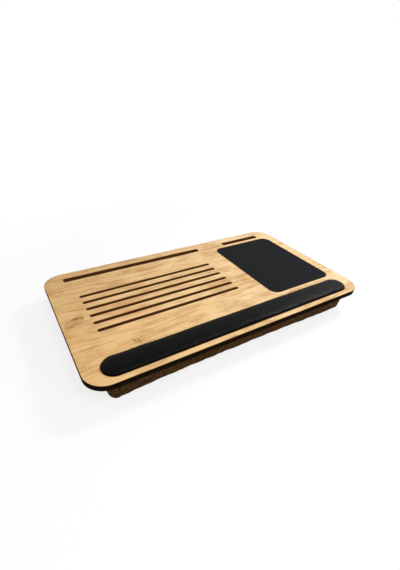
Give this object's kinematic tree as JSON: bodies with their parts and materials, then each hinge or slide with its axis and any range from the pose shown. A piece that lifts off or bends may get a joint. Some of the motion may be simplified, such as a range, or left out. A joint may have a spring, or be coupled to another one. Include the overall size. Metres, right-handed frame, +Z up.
{
  "type": "cushioned lap desk",
  "caption": "Cushioned lap desk: oak-faced board with vents, tablet and phone slots, an inset mouse pad and a padded wrist rest, on a zipped foam cushion.",
  "frame": {"origin": "on the floor, under the middle of the board", "axes": "+X to the user's right, +Y away from the user, +Z up"},
  "size_m": [0.58, 0.334, 0.061],
  "materials": {
    "oak_panel": "satin oak face, laser-burnt dark edges",
    "base_board": "satin oak face, laser-burnt dark edges",
    "pad_sheet": "matte charcoal, smooth fine weave",
    "pad_rubber": "matte black",
    "rest_leather": "black leatherette, soft sheen",
    "foam": "open-cell foam",
    "backer_board": "plain sheet",
    "cushion_cloth": "dark brown woven upholstery cloth",
    "hook_tape": "black hook tape",
    "loop_tape": "black loop tape",
    "zip_tape": "dark brown woven tape",
    "zip_coil": "dark brown nylon coil",
    "zip_metal": "dark bronze finish"
  },
  "bodies": {
    "desk": {"top_panel": "oak_panel", "base_panel": "base_board", "mouse_pad_surface": "pad_sheet", "mouse_pad_base": "pad_rubber", "wrist_rest_cover": "rest_leather", "wrist_rest_foam": "foam", "wrist_rest_backer": "backer_board", "hook_strips": "hook_tape", "loop_strips": "loop_tape", "cushion_foam": "foam", "cushion_top_panel": "cushion_cloth", "cushion_side_band": "cushion_cloth", "cushion_rear_strip_upper": "cushion_cloth", "cushion_rear_strip_lower": "cushion_cloth", "cushion_bottom_panel": "cushion_cloth", "zip_tape_upper": "zip_tape", "zip_tape_lower": "zip_tape", "zip_coil_upper": "zip_coil", "zip_coil_lower": "zip_coil", "zip_top_stops": "zip_metal", "zip_bottom_stop": "zip_metal"},
    "slider": {"zip_slider": "zip_metal"},
    "pull": {"zip_pull_tab": "zip_metal"}
  },
  "joints": [
    {"name": "zip_slide", "type": "slide", "parent": "desk", "child": "slider", "axis": [1, 0, 0], "range_m": [0, 0.4222]},
    {"name": "pull_swing", "type": "hinge", "parent": "slider", "child": "pull", "pos_m": [-0.2111, 0.15344, 0.02349], "axis": [0, 0.1392, 0.9903], "range_deg": [0, 180]}
  ]
}
